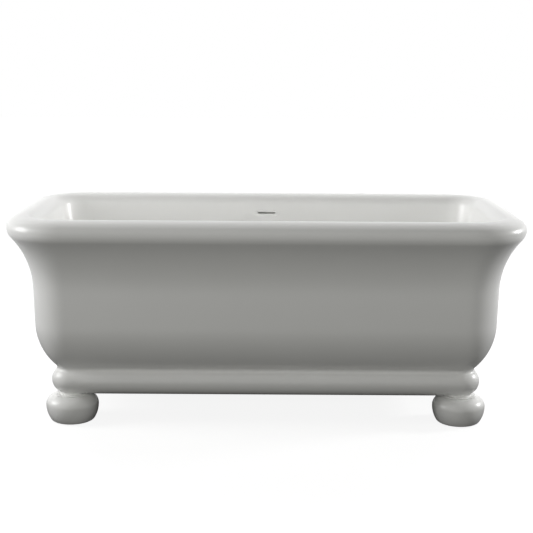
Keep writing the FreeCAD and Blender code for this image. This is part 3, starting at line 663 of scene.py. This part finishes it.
def basin_wall(mesh, wall, skin_out, edge_r, drop):
    """Rings from the floor's edge up to the join: the inside, or the back when moved out by a skin."""
    base = wall.floor_z - drop
    turn_in = edge_r * math.tan((math.pi / 2 - wall.lean) / 2)
    centre = (wall.out(base) + skin_out - turn_in, base + edge_r)
    points = arc_points(centre, edge_r, -math.pi / 2, -wall.lean)
    points += straight(points[-1], (wall.out(wall.join_z) + skin_out, wall.join_z))
    rings = []
    for out, z in points:
        radius = wall.corner(z) + out - wall.out(z)
        rings.append(tub_ring(mesh, FOOT_X + out, FOOT_Y + out, radius, z))
    return rings


def rim_profile(sizes, section, wall):
    """Rim from the inner wall over the crest to the seam, then the channel under it and its back."""
    under = RIM_TOP - sizes.skin
    channel_c = (sizes.lip_in - sizes.channel_radius, under - sizes.channel_radius)
    points = arc_points(wall.edge_c, wall.edge_r, math.pi - wall.lean, math.pi / 2)
    points += arc_points(section.crest_c, section.crest_r, math.pi / 2, section.crest_turn)[1:]
    points += arc_points(section.tip_c, sizes.tip_radius, section.crest_turn, 0.0)[1:]
    points += arc_points(section.nose_c, sizes.nose_radius, 0.0, section.seam_turn)[1:]
    points.append((sizes.lip_in, SEAM_Z))
    points += arc_points(channel_c, sizes.channel_radius, 0.0, math.pi / 2)
    points += arc_points(wall.edge_c, wall.edge_r - sizes.skin, math.pi / 2, math.pi - wall.lean)
    return points


def waste_profile(basin, wall):
    """Recess, hole and boss of the waste from the floor's top to its underside."""
    recess_z = wall.floor_z - basin.recess_depth
    return [(basin.recess_radius, wall.floor_z), (basin.recess_radius, recess_z),
            (basin.hole_radius, recess_z), (basin.hole_radius, BOSS_Z),
            (basin.boss_radius, BOSS_Z), (basin.boss_radius, BOARD_TOP)]


def build_basin(sizes, basin):
    """Inner skin with the rolled rim, the waste recess and the overflow slot."""
    section = TubSection(sizes)
    wall = InnerWall(basin, sizes, section)
    mesh = bmesh.new()
    inside_edge = basin.floor_edge_radius
    back_edge = inside_edge + sizes.skin
    back_out = sizes.skin / math.cos(wall.lean)
    inside = basin_wall(mesh, wall, skin_out=0.0, edge_r=inside_edge, drop=0.0)
    rim = [section_ring(mesh, out, z) for out, z in rim_profile(sizes, section, wall)]
    back = basin_wall(mesh, wall, skin_out=back_out, edge_r=back_edge, drop=basin.floor_thickness)
    join_rings(mesh, inside + rim + back[::-1])
    waste = [round_ring(mesh, radius, z) for radius, z in waste_profile(basin, wall)]
    join_rings(mesh, waste)
    fill_between(mesh, inside[0], waste[0])
    fill_between(mesh, back[0], waste[-1])
    piece = finish_mesh(mesh, "basin_skin", "tub_white", TUB, "basin")
    cut_overflow_slot(piece, basin, wall)


def slot_outline(long, high):
    """Points of a flat slot with round ends, about the origin."""
    radius = high / 2
    reach = long / 2 - radius
    turns = [math.pi * k / SLOT_END_STEPS - math.pi / 2 for k in range(SLOT_END_STEPS + 1)]
    right = [on_circle((reach, 0.0), radius, turn) for turn in turns]
    left = [on_circle((-reach, 0.0), radius, turn + math.pi) for turn in turns]
    return right + left


def wall_matrix(wall):
    """Frame of the overflow on the rear wall: x along the tub, y up the wall, z into the basin."""
    up = Vector((0, math.sin(wall.lean), math.cos(wall.lean)))
    into = Vector((0, -math.cos(wall.lean), math.sin(wall.lean)))
    z = (COVER_LOW.z + COVER_HIGH.z) / 2
    place = Matrix((Vector((1, 0, 0)), up, into)).transposed().to_4x4()
    place.translation = (0, FOOT_Y + wall.out(z), z)
    return place


def cut_overflow_slot(piece, basin, wall):
    """Cut the overflow slot through the rear wall."""
    mesh = bmesh.new()
    outline = slot_outline(basin.slot_length, basin.slot_height)
    rings = [[mesh.verts.new((x, y, depth)) for x, y in outline] for depth in (-CUT_REACH, CUT_REACH)]
    join_rings(mesh, rings)
    for ring in rings:
        mesh.faces.new(ring)
    bmesh.ops.transform(mesh, matrix=wall_matrix(wall), verts=mesh.verts)
    bmesh.ops.recalc_face_normals(mesh, faces=mesh.faces)
    cutter = add_object("slot_cutter", take_data(mesh, "slot_cutter"))
    cut = piece.modifiers.new("overflow slot", "BOOLEAN")
    cut.object = cutter
    cut.solver = "EXACT"
    bpy.context.view_layer.objects.active = piece
    bpy.ops.object.modifier_apply(modifier=cut.name)
    bpy.data.objects.remove(cutter)
    smooth_faces(piece.data)


# Feet and plug

def bun_section(foot):
    """Half section of a bun foot from its top to its glide recess."""
    top, low, widest = BUN_HIGH.z, BUN_LOW.z, foot.widest_height
    shoulder = top - widest
    side_c = (BUN_R - foot.side_radius, widest)
    reach = foot.side_radius - foot.base_radius
    turn = math.asin((widest - low - foot.base_radius) / reach)
    base_c = on_circle(side_c, reach, -turn)
    points = [(0, top)]
    points += arc_points((BUN_R - shoulder, widest), shoulder, math.pi / 2, 0.0)
    points += arc_points(side_c, foot.side_radius, 0.0, -turn)[1:]
    points += arc_points(base_c, foot.base_radius, -turn, -math.pi / 2)[1:]
    points += [(foot.recess_radius, low), (foot.recess_radius, foot.recess_depth), (0, foot.recess_depth)]
    return points


def ring_section(foot):
    """Half section of a neck ring, closed round its hole."""
    radius = (RING_HIGH.z - RING_LOW.z) / 2
    centre = (RING_R - radius, RING_LOW.z + radius)
    points = arc_points(centre, radius, math.pi / 2, -math.pi / 2)
    return points + [(foot.stud_hole, RING_LOW.z), (foot.stud_hole, RING_HIGH.z)]


def build_feet(foot):
    """Bun and neck ring at each corner."""
    for corner, (sx, sy) in CORNERS.items():
        mesh = bmesh.new()
        lathe(mesh, bun_section(foot), sx * FOOT_X, sy * FOOT_Y)
        finish_mesh(mesh, "bun_" + corner, "foot_white", TUB, "foot_bun_" + corner)
        mesh = bmesh.new()
        lathe(mesh, ring_section(foot), sx * FOOT_X, sy * FOOT_Y, closed=True)
        finish_mesh(mesh, "neck_bead_" + corner, "foot_white", TUB, "neck_ring_" + corner)


def cap_section(fitting):
    """Half section of the domed plug cap."""
    edge = fitting.cap_edge
    rim_z = CAP_HIGH.z - fitting.cap_dome
    dome_r = (CAP_R - edge) ** 2 / (2 * fitting.cap_dome)
    reach = math.asin((CAP_R - edge) / dome_r)
    turns = [reach * k / DOME_STEPS for k in range(DOME_STEPS + 1)]
    dome = [(dome_r * math.sin(a), CAP_HIGH.z - dome_r * (1 - math.cos(a))) for a in turns]
    rounded = arc_points((CAP_R - edge, rim_z - edge), edge, math.pi / 2 - reach, -math.pi / 4)
    return dome + rounded + [(CAP_R - 2 * edge, CAP_LOW.z), (0, CAP_LOW.z)]


def build_plug_cap(fitting):
    """Domed cap of the push plug."""
    mesh = bmesh.new()
    lathe(mesh, cap_section(fitting))
    finish_mesh(mesh, "plug_dome", "waste_chrome", "plug", "plug_cap")


# Stage

# Half the side of the studio's floor, in metres, and its squares along a side
FLOOR_HALF = 14.0
FLOOR_SQUARES = 8
# The floor's glow grows to full white between these distances from the tub's middle, in metres
GLOW_NEAR = 0.6
GLOW_FAR = 2.4
# Glow under the tub as the eye sees it and as the gloss mirrors it
SEEN_GLOW = 0.88
MIRRORED_GLOW = 0.0
# Grey that takes the tub's shadow on the floor that the eye sees
SHADOW_GREY = (0.25, 0.25, 0.25)
PLAIN_WHITE = (1.0, 1.0, 1.0)
AMBIENT_TINT = (1.0, 1.0, 0.985)
FRONT_TINT = (1.0, 1.0, 0.96)
# Point in the tub that the lamps look at
LAMP_AIM = Vector((0.0, 0.0, 0.4))
# Width of the camera's sensor, in millimetres
SENSOR_WIDTH = 36.0

# A lamp's place in degrees left of the front, degrees up and metres from its aim, the side of its square
# in metres, whether the gloss mirrors it, and its tint
Lamp = namedtuple("Lamp", "left up away side glints tint")
LAMPS = {
    "left": Lamp(left=84.0, up=18.0, away=3.0, side=1.2, glints=True, tint=PLAIN_WHITE),
    "left_back": Lamp(left=135.0, up=38.0, away=3.0, side=1.0, glints=False, tint=PLAIN_WHITE),
    "right": Lamp(left=-97.0, up=14.0, away=3.0, side=0.5, glints=True, tint=PLAIN_WHITE),
    "right_back": Lamp(left=-135.0, up=38.0, away=3.0, side=1.0, glints=False, tint=PLAIN_WHITE),
    "front": Lamp(left=3.0, up=14.0, away=4.5, side=1.0, glints=False, tint=FRONT_TINT),
}


def shown_to(tree, first, *others):
    """One where a ray of these kinds looks, else zero."""
    path = tree.nodes.new("ShaderNodeLightPath")
    total = path.outputs[first]
    for ray in others:
        add = tree.nodes.new("ShaderNodeMath")
        add.operation = "ADD"
        add.use_clamp = True
        tree.links.new(total, add.inputs[0])
        tree.links.new(path.outputs[ray], add.inputs[1])
        total = add.outputs[0]
    return total


def mix_shaders(tree, share, first, second):
    """The first shader where the share is zero, the second where it is one."""
    mix = tree.nodes.new("ShaderNodeMixShader")
    tree.links.new(share, mix.inputs["Fac"])
    tree.links.new(first, mix.inputs[1])
    tree.links.new(second, mix.inputs[2])
    return mix.outputs[0]


def matt(tree, base):
    """Plain diffuse shader."""
    diffuse = tree.nodes.new("ShaderNodeBsdfDiffuse")
    diffuse.inputs["Color"].default_value = (*base, 1.0)
    return diffuse.outputs[0]


def floor_glow(tree, near):
    """Glow of the floor, full white away from the tub and less round it."""
    place = tree.nodes.new("ShaderNodeTexCoord")
    reach = tree.nodes.new("ShaderNodeVectorMath")
    reach.operation = "LENGTH"
    spread = tree.nodes.new("ShaderNodeMapRange")
    spread.interpolation_type = "SMOOTHSTEP"
    spread.inputs["From Min"].default_value = GLOW_NEAR
    spread.inputs["From Max"].default_value = GLOW_FAR
    spread.inputs["To Min"].default_value = near
    spread.inputs["To Max"].default_value = 1.0
    glow = tree.nodes.new("ShaderNodeEmission")
    tree.links.new(place.outputs["Object"], reach.inputs[0])
    tree.links.new(reach.outputs["Value"], spread.inputs["Value"])
    tree.links.new(spread.outputs["Result"], glow.inputs["Strength"])
    return glow.outputs[0]


def floor_finish(base):
    """Floor that is white to the eye with the tub's shadow, dim round the tub in the gloss, else dark."""
    material = bpy.data.materials.new("studio_floor")
    material.use_nodes = True
    tree = material.node_tree
    tree.nodes.clear()
    white = tree.nodes.new("ShaderNodeAddShader")
    tree.links.new(matt(tree, SHADOW_GREY), white.inputs[0])
    tree.links.new(floor_glow(tree, SEEN_GLOW), white.inputs[1])
    mirrored = floor_glow(tree, MIRRORED_GLOW)
    unseen = mix_shaders(tree, shown_to(tree, "Is Glossy Ray"), matt(tree, base), mirrored)
    seen = shown_to(tree, "Is Camera Ray", "Is Transmission Ray")
    out = tree.nodes.new("ShaderNodeOutputMaterial")
    tree.links.new(mix_shaders(tree, seen, unseen, white.outputs[0]), out.inputs["Surface"])
    return material


def build_floor(base):
    """Wide floor under the glides."""
    mesh = bmesh.new()
    bmesh.ops.create_grid(mesh, x_segments=FLOOR_SQUARES, y_segments=FLOOR_SQUARES, size=FLOOR_HALF)
    data = take_data(mesh, "studio_floor")
    data.materials.append(floor_finish(base))
    floor = add_object("studio_floor", data)
    floor.location.z = CAD_LOW.z


def background(tree, tint, level):
    """Even background light."""
    light = tree.nodes.new("ShaderNodeBackground")
    light.inputs["Color"].default_value = (*tint, 1.0)
    light.inputs["Strength"].default_value = level
    return light.outputs[0]


def build_world(level):
    """Even light from all round, and a white background."""
    world = bpy.data.worlds.new("studio")
    world.use_nodes = True
    tree = world.node_tree
    tree.nodes.clear()
    seen = shown_to(tree, "Is Camera Ray", "Is Glossy Ray", "Is Transmission Ray")
    dim = background(tree, AMBIENT_TINT, level)
    white = background(tree, PLAIN_WHITE, 1.0)
    out = tree.nodes.new("ShaderNodeOutputWorld")
    tree.links.new(mix_shaders(tree, seen, dim, white), out.inputs["Surface"])
    bpy.context.scene.world = world


def add_lamp(name, lamp, watts):
    """Soft square lamp that looks at the tub."""
    light = bpy.data.lights.new(name, "AREA")
    light.shape = "SQUARE"
    light.size = lamp.side
    light.energy = watts
    light.color = lamp.tint
    turn, rise = math.radians(lamp.left), math.radians(lamp.up)
    way = Vector((-math.sin(turn) * math.cos(rise), -math.cos(turn) * math.cos(rise), math.sin(rise)))
    holder = add_object(name, light)
    holder.location = LAMP_AIM + way * lamp.away
    holder.rotation_euler = (-way).to_track_quat("-Z", "Y").to_euler()
    holder.visible_camera = False
    holder.visible_glossy = lamp.glints


def build_camera(stage):
    """Camera at the photograph's place."""
    camera = bpy.data.cameras.new("photo_camera")
    camera.sensor_fit = "HORIZONTAL"
    camera.sensor_width = SENSOR_WIDTH
    camera.lens = stage.lens
    camera.shift_y = stage.shift_y
    holder = add_object("photo_camera", camera)
    tilt = Euler((math.pi / 2 - stage.camera_pitch, 0, 0)).to_matrix()
    look = tilt @ Matrix.Rotation(stage.camera_roll, 3, "Z")
    holder.matrix_world = Matrix.Translation(stage.camera_place) @ look.to_4x4()
    bpy.context.scene.camera = holder


# Operators and panel

class BATHTUB_OT_outer_shell(bpy.types.Operator):
    """Build the flared outer skin"""
    bl_idname = "bathtub.outer_shell"
    bl_label = "Outer shell"

    def execute(self, context):
        build_outer_shell(context.scene.bathtub.body)
        return {"FINISHED"}


class BATHTUB_OT_basin(bpy.types.Operator):
    """Build the inner skin and the rolled rim"""
    bl_idname = "bathtub.basin"
    bl_label = "Basin"

    def execute(self, context):
        settings = context.scene.bathtub
        build_basin(settings.body, settings.basin)
        return {"FINISHED"}


class BATHTUB_OT_feet(bpy.types.Operator):
    """Build the bun feet and dress their glides and fixings"""
    bl_idname = "bathtub.feet"
    bl_label = "Feet"

    def execute(self, context):
        build_feet(context.scene.bathtub.foot)
        dress_nodes(*("levelling_glide_" + corner for corner in CORNERS))
        dress_nodes("foot_stud_inserts", "glide_inserts", "foot_studs", "foot_washers", "foot_nuts")
        return {"FINISHED"}


class BATHTUB_OT_waste(bpy.types.Operator):
    """Build the plug cap and dress the waste"""
    bl_idname = "bathtub.waste"
    bl_label = "Waste and plug"

    def execute(self, context):
        build_plug_cap(context.scene.bathtub.fitting)
        dress_nodes("waste_flange", "waste_seal_upper", "waste_seal_lower", "waste_tee", "waste_backnut")
        dress_nodes("plug_seal", "plug_stem", "plug_cartridge", "plug_spring")
        return {"FINISHED"}


class BATHTUB_OT_overflow(bpy.types.Operator):
    """Dress the overflow cover, body and hose"""
    bl_idname = "bathtub.overflow"
    bl_label = "Overflow"

    def execute(self, context):
        dress_nodes("overflow_cover", "overflow_seal", "overflow_body", "overflow_hose", "hose_clips")
        return {"FINISHED"}


class BATHTUB_OT_cradle(bpy.types.Operator):
    """Dress the base board, rails and their fasteners"""
    bl_idname = "bathtub.cradle"
    bl_label = "Cradle"

    def execute(self, context):
        dress_nodes("base_board", "long_rail_front", "long_rail_rear")
        dress_nodes("cross_rail_left_outer", "cross_rail_left_inner")
        dress_nodes("cross_rail_right_inner", "cross_rail_right_outer")
        dress_nodes("rail_bolts", "rail_nuts", "board_screws")
        return {"FINISHED"}


class BATHTUB_OT_stage(bpy.types.Operator):
    """Build the floor, light and camera"""
    bl_idname = "bathtub.stage"
    bl_label = "Stage"

    def execute(self, context):
        stage = context.scene.bathtub.stage
        build_floor(stage.floor)
        build_world(stage.ambient)
        for name, lamp in LAMPS.items():
            add_lamp("lamp_" + name, lamp, getattr(stage, name + "_power"))
        build_camera(stage)
        context.scene.view_settings.view_transform = "Standard"
        return {"FINISHED"}


class BATHTUB_PT_panel(bpy.types.Panel):
    """Sidebar panel of the bathtub"""
    bl_label = "Bathtub"
    bl_idname = "BATHTUB_PT_panel"
    bl_space_type = "VIEW_3D"
    bl_region_type = "UI"
    bl_category = "Bathtub"

    def draw(self, context):
        settings = context.scene.bathtub
        for operator in OPERATORS:
            self.layout.operator(operator.bl_idname)
        for group in (settings.body, settings.basin, settings.foot, settings.fitting, settings.finish,
                      settings.stage):
            box = self.layout.box()
            for name in group.bl_rna.properties.keys():
                if name not in ("rna_type", "name"):
                    box.prop(group, name)


OPERATORS = (
    BATHTUB_OT_outer_shell,
    BATHTUB_OT_basin,
    BATHTUB_OT_feet,
    BATHTUB_OT_waste,
    BATHTUB_OT_overflow,
    BATHTUB_OT_cradle,
    BATHTUB_OT_stage,
)
GROUPS = (BathtubBodySizes, BathtubBasinSizes, BathtubFootSizes, BathtubFittingSizes, BathtubFinishes,
          BathtubStage, BathtubSettings)
CLASSES = GROUPS + OPERATORS + (BATHTUB_PT_panel,)


def register():
    """Register the classes and the settings."""
    for cls in CLASSES:
        bpy.utils.register_class(cls)
    bpy.types.Scene.bathtub = PointerProperty(type=BathtubSettings)


def unregister():
    """Undo register."""
    del bpy.types.Scene.bathtub
    for cls in reversed(CLASSES):
        bpy.utils.unregister_class(cls)


def main():
    """Build the whole scene."""
    register()
    bpy.ops.bathtub.outer_shell()
    bpy.ops.bathtub.basin()
    bpy.ops.bathtub.feet()
    bpy.ops.bathtub.waste()
    bpy.ops.bathtub.overflow()
    bpy.ops.bathtub.cradle()
    bpy.ops.bathtub.stage()


if __name__ == "__main__":
    main()
